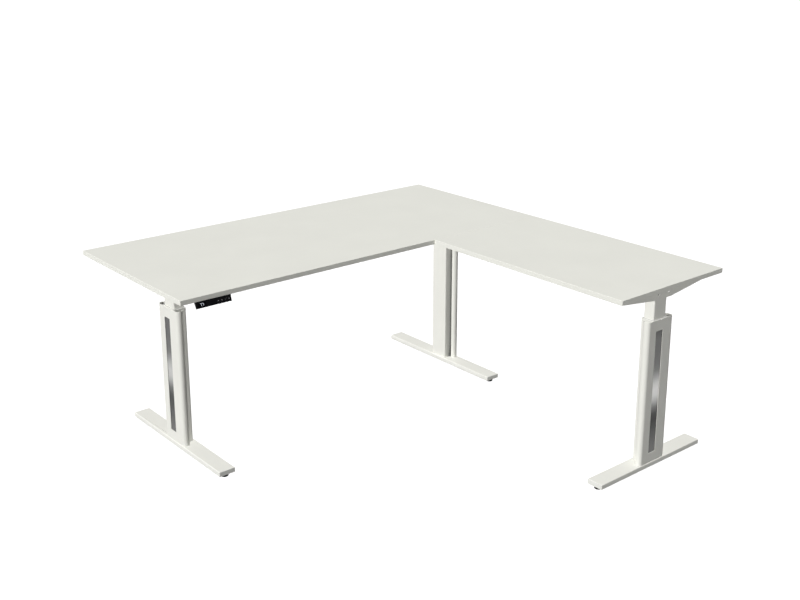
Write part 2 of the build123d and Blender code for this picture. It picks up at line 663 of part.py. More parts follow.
def make_rail(name, start, length, width, tapped_faces=()):
    """Rectangular tube with a bolting plate across each end, and bolt holes in its side if tapped."""
    with BuildPart() as rail:
        with BuildSketch(start):
            Rectangle(width, RAIL_HEIGHT)
            Rectangle(width - 2 * RAIL_WALL, RAIL_HEIGHT - 2 * RAIL_WALL, mode=Mode.SUBTRACT)
        extrude(amount=length)
        for place in (0, length - RAIL_PLATE):
            with BuildSketch(start.offset(place)):
                with Locations((0, (RAIL_HEIGHT - RAIL_PLATE_HEIGHT) / 2)):
                    Rectangle(width + 2 * RAIL_PLATE_EXTRA, RAIL_PLATE_HEIGHT)
                with Locations(*bolt_pair(width)):
                    Circle(RAIL_BOLT_RADIUS, mode=Mode.SUBTRACT)
            extrude(amount=RAIL_PLATE)
        for face in tapped_faces:
            with BuildSketch(face):
                with Locations(*bolt_pair(RETURN_RAIL_WIDTH)):
                    Circle(RAIL_BOLT_RADIUS)
            extrude(amount=RAIL_WALL, mode=Mode.SUBTRACT)
    rail.part.label = name
    export_step(rail.part, f"parts/{name}.step")


def make_rails():
    """Two rails that tie the main arms together, and two that carry the return."""
    joints = [return_rail_plane(side, FRONT_RAIL_FACE) for side in (-1, 1)]
    make_rail("main_front_rail", main_rail_plane(-1, MAIN_RAIL_START), MAIN_RAIL_LENGTH,
              MAIN_RAIL_WIDTH, joints)
    make_rail("main_back_rail", main_rail_plane(1, MAIN_RAIL_START), MAIN_RAIL_LENGTH, MAIN_RAIL_WIDTH)
    for side, name in ((-1, "return_left_rail"), (1, "return_right_rail")):
        make_rail(name, return_rail_plane(side, RETURN_RAIL_START), RETURN_RAIL_LENGTH, RETURN_RAIL_WIDTH)


def facing_back(plane):
    """The same plane, facing the other way."""
    return Plane(origin=plane.origin, x_dir=plane.x_dir, z_dir=-plane.z_dir)


def make_rail_bolts():
    """Bolts that hold the rails' end plates to the arms, and the return's rails to the front rail."""
    head_radius, head_height = RAIL_BOLT_HEAD
    main_bolts = bolt_pair(MAIN_RAIL_WIDTH)
    return_bolts = bolt_pair(RETURN_RAIL_WIDTH)
    joints = []
    for side in (-1, 1):
        left = main_rail_plane(side, MAIN_RAIL_START + RAIL_PLATE)
        right = main_rail_plane(side, -MAIN_RAIL_START - RAIL_PLATE)
        near = return_rail_plane(side, RETURN_RAIL_START + RAIL_PLATE)
        far = return_rail_plane(side, FRONT_RAIL_FACE - RAIL_PLATE)
        joints.append((left, main_bolts, RAIL_PLATE + ARM_SHEET))
        joints.append((facing_back(right), main_bolts, RAIL_PLATE + ARM_SHEET))
        joints.append((near, return_bolts, RAIL_PLATE + ARM_SHEET))
        joints.append((facing_back(far), return_bolts, RAIL_PLATE + RAIL_WALL))
    with BuildPart() as rail_bolts:
        for plate_face, places, grip in joints:
            with BuildSketch(plate_face):
                with Locations(*places):
                    Circle(head_radius)
            extrude(amount=head_height)
            with BuildSketch(plate_face):
                with Locations(*places):
                    Circle(RAIL_BOLT_RADIUS)
            extrude(amount=-grip)
    rail_bolts.part.label = "rail_bolts"
    export_step(rail_bolts.part, "parts/rail_bolts.step")


# ---------------------------------------------------------------- tops
def joining_screw_positions():
    """Board screws of the plates across the seam."""
    places = []
    for x in JOINING_PLATE_CENTRES:
        for dx in JOINING_SCREWS_ALONG:
            for dy in JOINING_SCREWS_ACROSS:
                places.append((x + dx, SEAM_Y + dy))
    return places


def make_joining_plates():
    """Flat steel plates under the seam between the two boards."""
    length, width, thickness = JOINING_PLATE
    with BuildPart() as joining_plates:
        with BuildSketch(Plane.XY.offset(BOARD_BOTTOM - thickness)):
            with Locations(*[(x, SEAM_Y) for x in JOINING_PLATE_CENTRES]):
                RectangleRounded(length, width, JOINING_PLATE_CORNER)
            with Locations(*joining_screw_positions()):
                Circle(SCREW_HOLE_RADIUS, mode=Mode.SUBTRACT)
        extrude(amount=thickness)
    joining_plates.part.label = "joining_plates"
    export_step(joining_plates.part, "parts/joining_plates.step")


def make_top(name, x, y, length, width):
    """One worktop: a board and the edge band glued round it."""
    with BuildPart() as board:
        with BuildSketch(Plane.XY.offset(BOARD_BOTTOM)):
            with Locations((x, y)):
                Rectangle(length - 2 * BAND_THICKNESS, width - 2 * BAND_THICKNESS)
        extrude(amount=BOARD_THICKNESS)
    board.part.label = f"{name}_top"
    export_step(board.part, f"parts/{name}_top.step")

    with BuildPart() as band:
        with BuildSketch(Plane.XY.offset(BOARD_BOTTOM)):
            with Locations((x, y)):
                RectangleRounded(length, width, BAND_THICKNESS)
        extrude(amount=BOARD_THICKNESS)
        fillet(band.edges().group_by(Axis.Z)[-1] + band.edges().group_by(Axis.Z)[0], BAND_ROUNDING)
        with BuildSketch(Plane.XY.offset(BOARD_BOTTOM)):
            with Locations((x, y)):
                Rectangle(length - 2 * BAND_THICKNESS, width - 2 * BAND_THICKNESS)
        extrude(amount=BOARD_THICKNESS, mode=Mode.SUBTRACT)
    band.part.label = f"{name}_edge_band"
    export_step(band.part, f"parts/{name}_edge_band.step")


def make_board_screws():
    """Screws from below through arms, plates, control box and hand controller into the boards."""
    head_radius, head_height = BOARD_SCREW_HEAD
    groups = [(Plane.XY, box_screw_positions(), BOX_EAR_THICKNESS),
              (Plane.XY, joining_screw_positions(), JOINING_PLATE[2]),
              (Plane.XY, controller_screw_positions(), KEYPAD_FLANGE)]
    for leg in LEGS:
        groups.append((level_plane(leg, 0), arm_screw_positions(leg), ARM_SHEET))
    with BuildPart() as board_screws:
        for plane, places, sheet in groups:
            with BuildSketch(plane.offset(BOARD_BOTTOM - sheet - head_height)):
                with Locations(*places):
                    Circle(head_radius)
            extrude(amount=head_height)
            with BuildSketch(plane.offset(BOARD_BOTTOM - sheet)):
                with Locations(*places):
                    Circle(BOARD_SCREW_RADIUS)
            extrude(amount=sheet + BOARD_SCREW_DEPTH)
    board_screws.part.label = "board_screws"
    export_step(board_screws.part, "parts/board_screws.step")


# ---------------------------------------------------------------- controls
def box_screw_positions():
    """Screws through the control box's two ears."""
    length, width, _ = BOX_SIZE
    reach = length / 2 + BOX_EAR[0] / 2
    return [(sx * reach, MAIN_CENTRE_Y + sy * width / 4) for sx in (-1, 1) for sy in (-1, 1)]


def make_control_box():
    """Flat housing under the main top with an ear at each end, its circuit board and its sockets."""
    length, width, height = BOX_SIZE
    ear_length, ear_width = BOX_EAR
    board_length, board_width, board_thickness = CIRCUIT_BOARD
    component_length, component_width, component_height = COMPONENT
    centre = (0, MAIN_CENTRE_Y)
    bottom = BOARD_BOTTOM - height
    front = MAIN_CENTRE_Y - width / 2
    socket_plane = Plane(origin=(0, front, bottom + height / 2), x_dir=(1, 0, 0), z_dir=(0, -1, 0))
    with BuildPart() as control_box:
        with BuildSketch(Plane.XY.offset(bottom)):
            with Locations(centre):
                RectangleRounded(length, width, BOX_CORNER)
        extrude(amount=height)
        fillet(control_box.edges().group_by(Axis.Z)[0], BOX_ROUNDING)
        with BuildSketch(Plane.XY.offset(bottom + BOX_WALL)):
            with Locations(centre):
                RectangleRounded(length - 2 * BOX_WALL, width - 2 * BOX_WALL, BOX_CORNER - BOX_WALL)
        extrude(amount=height - 2 * BOX_WALL, mode=Mode.SUBTRACT)
        with BuildSketch(Plane.XY.offset(BOARD_BOTTOM - BOX_EAR_THICKNESS)):
            for side in (-1, 1):
                with Locations((side * (length + ear_length) / 2, MAIN_CENTRE_Y)):
                    Rectangle(ear_length, ear_width)
            with Locations(*box_screw_positions()):
                Circle(SCREW_HOLE_RADIUS, mode=Mode.SUBTRACT)
        extrude(amount=BOX_EAR_THICKNESS)
        with BuildSketch(socket_plane):
            Rectangle(*SOCKET_PANEL)
        extrude(amount=-BOX_WALL, mode=Mode.SUBTRACT)
    control_box.part.label = "control_box"
    export_step(control_box.part, "parts/control_box.step")

    with BuildPart() as circuit_board:
        with BuildSketch(Plane.XY.offset(bottom + BOX_WALL + CIRCUIT_BOARD_GAP)):
            with Locations((0, MAIN_CENTRE_Y + SOCKET_PANEL_DEPTH / 2)):
                Rectangle(board_length, board_width)
        extrude(amount=board_thickness)
        with BuildSketch(Plane.XY.offset(bottom + BOX_WALL + CIRCUIT_BOARD_GAP + board_thickness)):
            with Locations(*[(x, MAIN_CENTRE_Y + COMPONENT_OFFSET) for x in COMPONENT_PLACES]):
                Rectangle(component_length, component_width)
        extrude(amount=component_height)
    circuit_board.part.label = "control_circuit_board"
    export_step(circuit_board.part, "parts/control_circuit_board.step")

    with BuildPart() as sockets:
        with BuildSketch(socket_plane):
            Rectangle(*SOCKET_PANEL)
        extrude(amount=-SOCKET_PANEL_DEPTH)
        with BuildSketch(socket_plane):
            with Locations(*[(x, 0) for x in MOTOR_SOCKET_PLACES]):
                Rectangle(*MOTOR_SOCKET)
            with Locations((CONTROLLER_SOCKET_PLACE, 0)):
                Rectangle(*CONTROLLER_SOCKET)
            with Locations((MAINS_INLET_PLACE, 0)):
                RectangleRounded(*MAINS_INLET, MAINS_INLET_CORNER)
        extrude(amount=-SOCKET_DEPTH, mode=Mode.SUBTRACT)
    sockets.part.label = "control_sockets"
    export_step(sockets.part, "parts/control_sockets.step")


# The hand controller's face hangs steeply below the front edge, with its lower edge nearer the user.
FACE_TOP = (SEAM_Y - KEYPAD_OVERHANG, BOARD_BOTTOM)
FACE_BOTTOM = (SEAM_Y - KEYPAD_REACH, BOARD_BOTTOM - KEYPAD_DROP)
FACE_MIDDLE = ((FACE_TOP[0] + FACE_BOTTOM[0]) / 2, (FACE_TOP[1] + FACE_BOTTOM[1]) / 2)
FACE_NORMAL = (0, FACE_BOTTOM[1] - FACE_TOP[1], FACE_TOP[0] - FACE_BOTTOM[0])
KEYPAD_LEFT = -HALF_LENGTH + KEYPAD_START


def controller_screw_positions():
    """Screws through the hand controller's flange."""
    return [(KEYPAD_LEFT + along, SEAM_Y + KEYPAD_SCREW_DEPTH) for along in KEYPAD_SCREWS_ALONG]


def face_plane(along):
    """Plane on the hand controller's sloping face, at a distance from its left end."""
    return Plane(origin=(KEYPAD_LEFT + along, *FACE_MIDDLE), x_dir=(1, 0, 0), z_dir=FACE_NORMAL)


def make_hand_controller():
    """Wedge-shaped housing under the front edge, its display window and its sprung keys."""
    y_low, z_low = FACE_BOTTOM
    y_back = SEAM_Y + KEYPAD_BACK
    flange_bottom = BOARD_BOTTOM - KEYPAD_FLANGE
    edge_depth, edge_drop = KEYPAD_EDGE
    with BuildPart() as housing:
        with BuildSketch(Plane.YZ.offset(KEYPAD_LEFT)) as section:
            with BuildLine():
                Polyline(FACE_TOP, FACE_BOTTOM, (y_low + edge_depth, z_low - edge_drop),
                         (SEAM_Y + KEYPAD_WEDGE, flange_bottom), (y_back, flange_bottom),
                         (y_back, BOARD_BOTTOM), close=True)
            make_face()
            fillet(section.vertices().group_by(Axis.X)[0], KEYPAD_EDGE_ROUNDING)
        extrude(amount=KEYPAD_LENGTH)
        with BuildSketch(Plane.XY.offset(flange_bottom)):
            with Locations(*controller_screw_positions()):
                Circle(SCREW_HOLE_RADIUS)
        extrude(amount=KEYPAD_FLANGE, mode=Mode.SUBTRACT)
        with BuildSketch(face_plane(DISPLAY_CENTRE)):
            RectangleRounded(*DISPLAY_SIZE, DISPLAY_CORNER)
        extrude(amount=-DISPLAY_THICKNESS, mode=Mode.SUBTRACT)
        for along in KEY_CENTRES:
            with BuildSketch(face_plane(along)):
                Circle(KEY_RADIUS + RUNNING_GAP)
            extrude(amount=-KEY_HOLE_DEPTH, mode=Mode.SUBTRACT)
    housing.part.label = "hand_controller_housing"
    export_step(housing.part, "parts/hand_controller_housing.step")

    with BuildPart() as display:
        with BuildSketch(face_plane(DISPLAY_CENTRE)):
            RectangleRounded(*DISPLAY_SIZE, DISPLAY_CORNER)
        extrude(amount=-DISPLAY_THICKNESS)
    display.part.label = "hand_controller_display"
    export_step(display.part, "parts/hand_controller_display.step")

    for name, along in zip(KEY_NAMES, KEY_CENTRES):
        with BuildPart() as key:
            with BuildSketch(face_plane(along).offset(KEY_PROUD)):
                Circle(KEY_RADIUS)
            extrude(amount=-KEY_THICKNESS)
            fillet(key.edges().sort_by(Axis(key.part.center(), face_plane(along).z_dir))[-1], KEY_ROUNDING)
        key.part.label = name
        export_step(key.part, f"parts/{name}.step")


# ---------------------------------------------------------------- build
make_top("main", 0, MAIN_CENTRE_Y, MAIN_LENGTH, MAIN_DEPTH)
make_top("return", RETURN_CENTRE_X, (SEAM_Y - SEAM_GAP - HALF_SPAN) / 2, RETURN_WIDTH,
         RETURN_LENGTH - SEAM_GAP)
make_joining_plates()
make_rails()
make_rail_bolts()
make_board_screws()
make_arm_screws()
make_control_box()
make_hand_controller()
for leg in LEGS:
    make_foot(leg)
    make_standpipe(leg)
    make_outer_tube(leg)
    make_cover(leg)
    make_decor_strip(leg)
    make_lift_tube(leg)
    make_motor(leg)
    make_spindle(leg)
    make_arm(leg)
    for place, u in zip(("a", "b"), glide_positions(leg)):
        make_glide(leg, place, u)
make_foot_end_caps()
make_glide_inserts()
make_foot_screws()
make_guide_collars()
make_spindle_nuts()
make_lift_tube_shoes()
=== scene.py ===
import json
import math
from collections import namedtuple

import bmesh
import bpy
from mathutils import Matrix, Vector


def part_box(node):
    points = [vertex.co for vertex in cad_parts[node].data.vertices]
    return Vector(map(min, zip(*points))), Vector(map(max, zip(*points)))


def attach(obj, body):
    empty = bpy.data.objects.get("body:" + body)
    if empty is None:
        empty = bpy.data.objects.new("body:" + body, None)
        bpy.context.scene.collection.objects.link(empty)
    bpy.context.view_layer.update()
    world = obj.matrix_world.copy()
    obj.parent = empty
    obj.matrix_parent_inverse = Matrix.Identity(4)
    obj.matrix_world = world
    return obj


# Looks of the height adjustable desk, built round its CAD frame. Metres, Z up.

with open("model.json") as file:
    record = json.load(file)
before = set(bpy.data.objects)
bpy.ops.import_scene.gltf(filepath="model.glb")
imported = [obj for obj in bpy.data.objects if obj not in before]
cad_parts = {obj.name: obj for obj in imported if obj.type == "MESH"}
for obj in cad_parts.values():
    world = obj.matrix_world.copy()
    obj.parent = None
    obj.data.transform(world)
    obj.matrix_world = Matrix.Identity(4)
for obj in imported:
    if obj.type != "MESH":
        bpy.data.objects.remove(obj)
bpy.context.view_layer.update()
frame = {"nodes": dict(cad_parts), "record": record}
nodes = frame["nodes"]
record = frame["record"]

# ------------------------------------------------------------------ camera, lights and floor
CAMERA_PLACE = (-2.6769, -3.2448, 2.0890)
CAMERA_HEADING = math.radians(50.19)
CAMERA_TILT = math.radians(15.634)
CAMERA_LENS = 50.04
CAMERA_SHIFT = -0.0928
SENSOR_WIDTH = 36.0

FLOOR_REACH = 60.0
FLOOR_DROP = 0.0005
FLOOR_ALBEDO = 0.80
FLOOR_GLOW = 0.30
BACKDROP_RADIUS = 50.0
BACKDROP_HEIGHT = 60.0
BACKDROP_SEGMENTS = 96
BACKDROP_GLOW = 1.2
SKY_STRENGTH = 0.14
KEY_DIRECTION = (0.7186, 0.185, -0.70)
KEY_STRENGTH = 4.23
FILL_DIRECTION = (-0.70, -0.70, 0.10)
FILL_STRENGTH = 0.9


def grey(value):
    """An even colour of one brightness."""
    return (value, value, value)


def scaled(colour, factor):
    """A colour made lighter or darker."""
    return tuple(part * factor for part in colour)


def add_camera():
    """Camera at the height and heading the desk is seen from."""
    data = bpy.data.cameras.new("camera")
    data.sensor_width = SENSOR_WIDTH
    data.lens = CAMERA_LENS
    data.shift_y = CAMERA_SHIFT
    data.clip_end = FLOOR_REACH * 2
    camera = bpy.data.objects.new("camera", data)
    camera.location = CAMERA_PLACE
    camera.rotation_euler = (math.pi / 2 - CAMERA_TILT, 0, CAMERA_HEADING - math.pi / 2)
    bpy.context.scene.collection.objects.link(camera)
    bpy.context.scene.camera = camera


def add_sun(name, direction, strength):
    """Even light from far away that throws no shadow."""
    data = bpy.data.lights.new(name, "SUN")
    data.energy = strength
    data.use_shadow = False
    sun = bpy.data.objects.new(name, data)
    sun.rotation_mode = "QUATERNION"
    sun.rotation_quaternion = Vector(direction).to_track_quat("-Z", "Y")
    bpy.context.scene.collection.objects.link(sun)


def add_lights():
    """A main light high on the left, a weak one from behind on the right, and a faint even sky."""
    add_sun("key", KEY_DIRECTION, KEY_STRENGTH)
    add_sun("fill", FILL_DIRECTION, FILL_STRENGTH)
    world = bpy.data.worlds.new("studio")
    world.use_nodes = True
    background = world.node_tree.nodes["Background"]
    background.inputs["Color"].default_value = (*grey(1), 1)
    background.inputs["Strength"].default_value = SKY_STRENGTH
    bpy.context.scene.world = world
    bpy.context.scene.view_settings.view_transform = "Standard"


def add_stage_piece(name, shape, glow):
    """A plain white, faintly glowing part of the studio that sends no light onto the desk."""
    mesh = bpy.data.meshes.new(name)
    shape.to_mesh(mesh)
    shape.free()
    piece = bpy.data.objects.new(name, mesh)
    bpy.context.scene.collection.objects.link(piece)
    mat = bpy.data.materials.new(name)
    mat.use_nodes = True
    shader = mat.node_tree.nodes["Principled BSDF"]
    shader.inputs["Base Color"].default_value = (*grey(FLOOR_ALBEDO), 1)
    shader.inputs["Roughness"].default_value = 1.0
    shader.inputs["Specular IOR Level"].default_value = 0.0
    shader.inputs["Emission Color"].default_value = (*grey(1), 1)
    shader.inputs["Emission Strength"].default_value = glow
    mesh.materials.append(mat)
    piece.visible_diffuse = False
    return piece


def add_floor_and_backdrop():
    """White floor, and a white wall far behind it all round."""
    shape = bmesh.new()
    bmesh.ops.create_grid(shape, x_segments=1, y_segments=1, size=FLOOR_REACH)
    floor = add_stage_piece("floor", shape, FLOOR_GLOW)
    floor.location.z = -FLOOR_DROP
    shape = bmesh.new()
    bmesh.ops.create_cone(shape, cap_ends=False, segments=BACKDROP_SEGMENTS,
                          radius1=BACKDROP_RADIUS, radius2=BACKDROP_RADIUS, depth=BACKDROP_HEIGHT)
    backdrop = add_stage_piece("backdrop", shape, BACKDROP_GLOW)
    backdrop.visible_glossy = False


# ------------------------------------------------------------------ materials
# Between these two values of a noise, a tone or gloss goes from its least to its most.
NOISE_LOW = 0.3
NOISE_HIGH = 0.7

# Painted shade in gaps and hollows: the open share of the surroundings at which a hollow is painted
# darkest, and at which it stops being painted dark.
PAINTED_SHADE_CLOSED = 0.10
PAINTED_SHADE_OPEN = 0.42
PAINTED_SHADE_DARKEST = 0.06
PAINTED_SHADE_REACH = 0.12
PAINTED_SHADE_SAMPLES = 8


class Paint:
    """A Principled material with the few procedural layers that the desk's finishes are made of."""

    def __init__(self, name, roughness=0.5, metallic=0.0, specular=0.5, anisotropic=0.0):
        self.material = bpy.data.materials.new(name)
        self.material.use_nodes = True
        self.tree = self.material.node_tree
        self.shader = self.tree.nodes["Principled BSDF"]
        self.shader.inputs["Roughness"].default_value = roughness
        self.shader.inputs["Metallic"].default_value = metallic
        self.shader.inputs["Specular IOR Level"].default_value = specular
        self.shader.inputs["Anisotropic"].default_value = anisotropic
        self.place = self.tree.nodes.new("ShaderNodeTexCoord").outputs["Object"]

    def node(self, kind, **settings):
        """A new shader node with its settings."""
        made = self.tree.nodes.new(kind)
        for key, value in settings.items():
            setattr(made, key, value)
        return made

    def link(self, source, target):
        """Feed one socket from another."""
        self.tree.links.new(source, target)

    def stretched(self, stretch):
        """The object's own coordinates, scaled apart from each other."""
        mapping = self.node("ShaderNodeMapping")
        mapping.inputs["Scale"].default_value = stretch
        self.link(self.place, mapping.inputs["Vector"])
        return mapping.outputs["Vector"]

    def noise(self, scale, detail, stretch=None):
        """Soft noise fixed to the object."""
        noise = self.node("ShaderNodeTexNoise")
        noise.inputs["Scale"].default_value = scale
        noise.inputs["Detail"].default_value = detail
        self.link(self.stretched(stretch) if stretch else self.place, noise.inputs["Vector"])
        return noise.outputs["Fac"]

    def ramp(self, fac, stops):
        """Colour along a factor, from (position, colour) stops."""
        ramp = self.node("ShaderNodeValToRGB")
        elements = ramp.color_ramp.elements
        while len(elements) < len(stops):
            elements.new(0.5)
        for element, (position, colour) in zip(elements, stops):
            element.position = position
            element.color = (*colour, 1)
        self.link(fac, ramp.inputs["Fac"])
        return ramp.outputs["Color"]

    def remap(self, fac, low, high, from_low=NOISE_LOW, from_high=NOISE_HIGH):
        """A factor stretched to run from low to high, and held there beyond its ends."""
        remap = self.node("ShaderNodeMapRange")
        remap.inputs["From Min"].default_value = from_low
        remap.inputs["From Max"].default_value = from_high
        remap.inputs["To Min"].default_value = low
        remap.inputs["To Max"].default_value = high
        self.link(fac, remap.inputs["Value"])
        return remap.outputs["Result"]

    def product(self, first, second):
        """Two colours multiplied."""
        blend = self.node("ShaderNodeMix", data_type="RGBA", blend_type="MULTIPLY")
        blend.inputs["Factor"].default_value = 1.0
        self.link(first, blend.inputs["A"])
        self.link(second, blend.inputs["B"])
        return blend.outputs["Result"]

    def painted_hollow_shade(self):
        """Painted shade: dark inside narrow gaps and hollows, where shade falls, and white
        everywhere else, to multiply into a colour.
        """
        hollow = self.node("ShaderNodeAmbientOcclusion", samples=PAINTED_SHADE_SAMPLES)
        hollow.inputs["Distance"].default_value = PAINTED_SHADE_REACH
        return self.ramp(hollow.outputs["AO"],
                         [(PAINTED_SHADE_CLOSED, grey(PAINTED_SHADE_DARKEST)), (PAINTED_SHADE_OPEN, grey(1))])

    def colour(self, source):
        """Set the surface's colour from a socket."""
        self.link(source, self.shader.inputs["Base Color"])

    def roughness(self, source):
        """Set the surface's roughness from a socket."""
        self.link(source, self.shader.inputs["Roughness"])

    def bump(self, height, distance):
        """Fine relief on the surface, as deep as distance."""
        bump = self.node("ShaderNodeBump")
        bump.inputs["Distance"].default_value = distance
        bump.inputs["Strength"].default_value = 1.0
        self.link(height, bump.inputs["Height"])
        self.link(bump.outputs["Normal"], self.shader.inputs["Normal"])


TONE_DETAIL = 3
GRAIN_DETAIL = 3
GLOSS_DETAIL = 4
GLOSS_TO_TONE_SCALE = 9

METAL_ANISOTROPY = 0.4
METAL_MARK_SCALE = 700
METAL_MARK_DETAIL = 4
METAL_MARK_LOW = 0.25
METAL_MARK_HIGH = 0.75
METAL_MARK_DEPTH = 0.00004
METAL_GLOSS_SCALE = 60
METAL_GLOSS_DETAIL = 3

STRIP_TINT = (1, 1, 0.98)
STRIP_BRUSHING = 0.06
STRIP_BRUSHING_SCALE = 900
STRIP_BRUSHING_DETAIL = 3
STRIP_BRUSHING_STRETCH = (1, 1, 0.02)
STRIP_GLOSS_SCALE = 40
STRIP_GLOSS_DETAIL = 3
STRIP_ROUGHNESS = (0.30, 0.40)

# Height above the floor and brightness along a decor strip, from its foot to its head: a painted
# reflection, dark with one bright band.
STRIP_PAINTED_REFLECTION = ((0.080, 0.115), (0.106, 0.105), (0.132, 0.085), (0.158, 0.070), (0.184, 0.050),
               (0.212, 0.035), (0.237, 0.050), (0.263, 0.13), (0.289, 0.32), (0.314, 0.47),
               (0.340, 0.50), (0.365, 0.42), (0.391, 0.26), (0.417, 0.15), (0.443, 0.125),
               (0.480, 0.115), (0.545, 0.105), (0.570, 0.08))

WHITE = (0.74, 0.738, 0.69)
MELAMINE = (0.755, 0.755, 0.70)
BLACK = (0.006, 0.006, 0.007)
PLAIN_SPECULAR = 0.5
WHITE_SPECULAR = 0.25

# Of the plain finishes, the one given painted shade in its gaps and hollows.
PAINTED_SHADE_FINISH = "white_powder_coat"

# drift: how far the tone wanders. rough: least and most roughness. grain_depth: metres.
Plain = namedtuple("Plain", "colour drift tone_scale grain_scale grain_depth rough specular")
PLAIN_FINISHES = {
    "board_laminate": Plain(MELAMINE, 0.012, 5, 1500, 0.00005, (0.50, 0.62), WHITE_SPECULAR),
    "edge_band": Plain(scaled(MELAMINE, 0.99), 0.01, 8, 1200, 0.00004, (0.45, 0.57),
                       WHITE_SPECULAR),
    "white_powder_coat": Plain(WHITE, 0.012, 7, 1100, 0.00006, (0.45, 0.57), WHITE_SPECULAR),
    "cap_plastic": Plain((0.72, 0.72, 0.68), 0.01, 20, 900, 0.00004, (0.45, 0.57), WHITE_SPECULAR),
    "motor_black": Plain((0.02, 0.02, 0.022), 0.15, 30, 900, 0.00008, (0.35, 0.5), PLAIN_SPECULAR),
    "nut_plastic": Plain((0.62, 0.60, 0.53), 0.03, 20, 800, 0.00003, (0.35, 0.45), PLAIN_SPECULAR),
    "guide_plastic": Plain((0.40, 0.40, 0.39), 0.03, 20, 900, 0.00004, (0.42, 0.55),
                           PLAIN_SPECULAR),
    "box_plastic": Plain((0.018, 0.018, 0.019), 0.1, 25, 650, 0.00015, (0.5, 0.65),
                         PLAIN_SPECULAR),
    "socket_plastic": Plain((0.03, 0.03, 0.032), 0.1, 30, 900, 0.00005, (0.4, 0.5),
                            PLAIN_SPECULAR),
    "circuit_board": Plain((0.01, 0.09, 0.035), 0.15, 60, 900, 0.00005, (0.3, 0.45),
                           PLAIN_SPECULAR),
    "glide_plastic": Plain(BLACK, 0.2, 30, 700, 0.00010, (0.5, 0.65), 0.1),
    "controller_plastic": Plain(BLACK, 0.15, 30, 900, 0.00005, (0.5, 0.6), 0.03),
    "display_window": Plain((0.003, 0.003, 0.004), 0.1, 20, 300, 0.000005, (0.10, 0.16), 0.04),
    "key_plastic": Plain((0.012, 0.012, 0.013), 0.1, 40, 900, 0.00003, (0.4, 0.5), 0.05),
}

# stretch: how the fine marks are scaled along x, y and z.
Metal = namedtuple("Metal", "colour drift rough stretch")
METAL_FINISHES = {
    "bare_steel": Metal((0.52, 0.52, 0.53), 0.08, (0.32, 0.45), (1, 0.05, 1)),
    "spindle_steel": Metal((0.45, 0.45, 0.46), 0.10, (0.22, 0.35), (1, 1, 8)),
    "screw_steel": Metal((0.60, 0.60, 0.60), 0.06, (0.28, 0.40), (1, 1, 1)),
}


def drifting(colour, drift, low=NOISE_LOW, high=NOISE_HIGH):
    """Ramp stops from a slightly darker to a slightly lighter tone of a colour."""
    return [(low, scaled(colour, 1 - drift)), (high, scaled(colour, 1 + drift))]


def plain_finish(name, look):
    """A moulded, painted or laminated finish: faint tone drift, fine grain and uneven gloss."""
    paint = Paint(name, specular=look.specular)
    base = paint.ramp(paint.noise(look.tone_scale, TONE_DETAIL), drifting(look.colour, look.drift))
    # Painted shade: this finish's colour is darkened in gaps and hollows.
    if name == PAINTED_SHADE_FINISH:
        base = paint.product(base, paint.painted_hollow_shade())
    paint.colour(base)
    gloss = paint.noise(look.tone_scale * GLOSS_TO_TONE_SCALE, GLOSS_DETAIL)
    paint.roughness(paint.remap(gloss, *look.rough))
    paint.bump(paint.noise(look.grain_scale, GRAIN_DETAIL), look.grain_depth)
    return paint.material


def metal_finish(name, look):
    """Bare or plated metal with fine marks along one direction, and painted shade in gaps and
    hollows.
    """
    paint = Paint(name, metallic=1.0, anisotropic=METAL_ANISOTROPY)
    marks = paint.noise(METAL_MARK_SCALE, METAL_MARK_DETAIL, look.stretch)
    base = paint.ramp(marks, drifting(look.colour, look.drift, METAL_MARK_LOW, METAL_MARK_HIGH))
    # Painted shade: the colour is darkened in gaps and hollows.
    paint.colour(paint.product(base, paint.painted_hollow_shade()))
    paint.roughness(paint.remap(paint.noise(METAL_GLOSS_SCALE, METAL_GLOSS_DETAIL), *look.rough))
    paint.bump(marks, METAL_MARK_DEPTH)
    return paint.material


def decor_strip_finish():
    """Dark satin metal strip with a painted reflection in its colour: one bright band across it, as
    polished sheet shows.
    """
    paint = Paint("decor_strip", metallic=1.0)
    split = paint.node("ShaderNodeSeparateXYZ")
    paint.link(paint.place, split.inputs["Vector"])
    foot = STRIP_PAINTED_REFLECTION[0][0]
    head = STRIP_PAINTED_REFLECTION[-1][0]
    # Painted reflection: the colour's brightness follows the height along the strip.
    run = paint.remap(split.outputs["Z"], 0.0, 1.0, foot, head)
    base = paint.ramp(run, [((height - foot) / (head - foot), scaled(STRIP_TINT, tone))
                            for height, tone in STRIP_PAINTED_REFLECTION])
    marks = paint.noise(STRIP_BRUSHING_SCALE, STRIP_BRUSHING_DETAIL, STRIP_BRUSHING_STRETCH)
    paint.colour(paint.product(base, paint.ramp(marks, drifting(grey(1), STRIP_BRUSHING))))
    gloss = paint.noise(STRIP_GLOSS_SCALE, STRIP_GLOSS_DETAIL)
    paint.roughness(paint.remap(gloss, *STRIP_ROUGHNESS))
    return paint.material


FINISHES = {name: plain_finish(name, look) for name, look in PLAIN_FINISHES.items()}
FINISHES.update({name: metal_finish(name, look) for name, look in METAL_FINISHES.items()})
FINISHES["decor_strip"] = decor_strip_finish()

# Width of the small rounding along the sharp edges of each finish.
EDGE_ROUNDING = {"white_powder_coat": 0.0005, "motor_black": 0.0005, "controller_plastic": 0.0008,
                 "box_plastic": 0.0008, "bare_steel": 0.0003, "guide_plastic": 0.0004}
EDGE_ANGLE = math.radians(40)
EDGE_SEGMENTS = 2
WELD_DISTANCE = 0.00001
# The arms are folded sheet, and their cut edges stay sharp.
SHARP_NODES = "_arm"


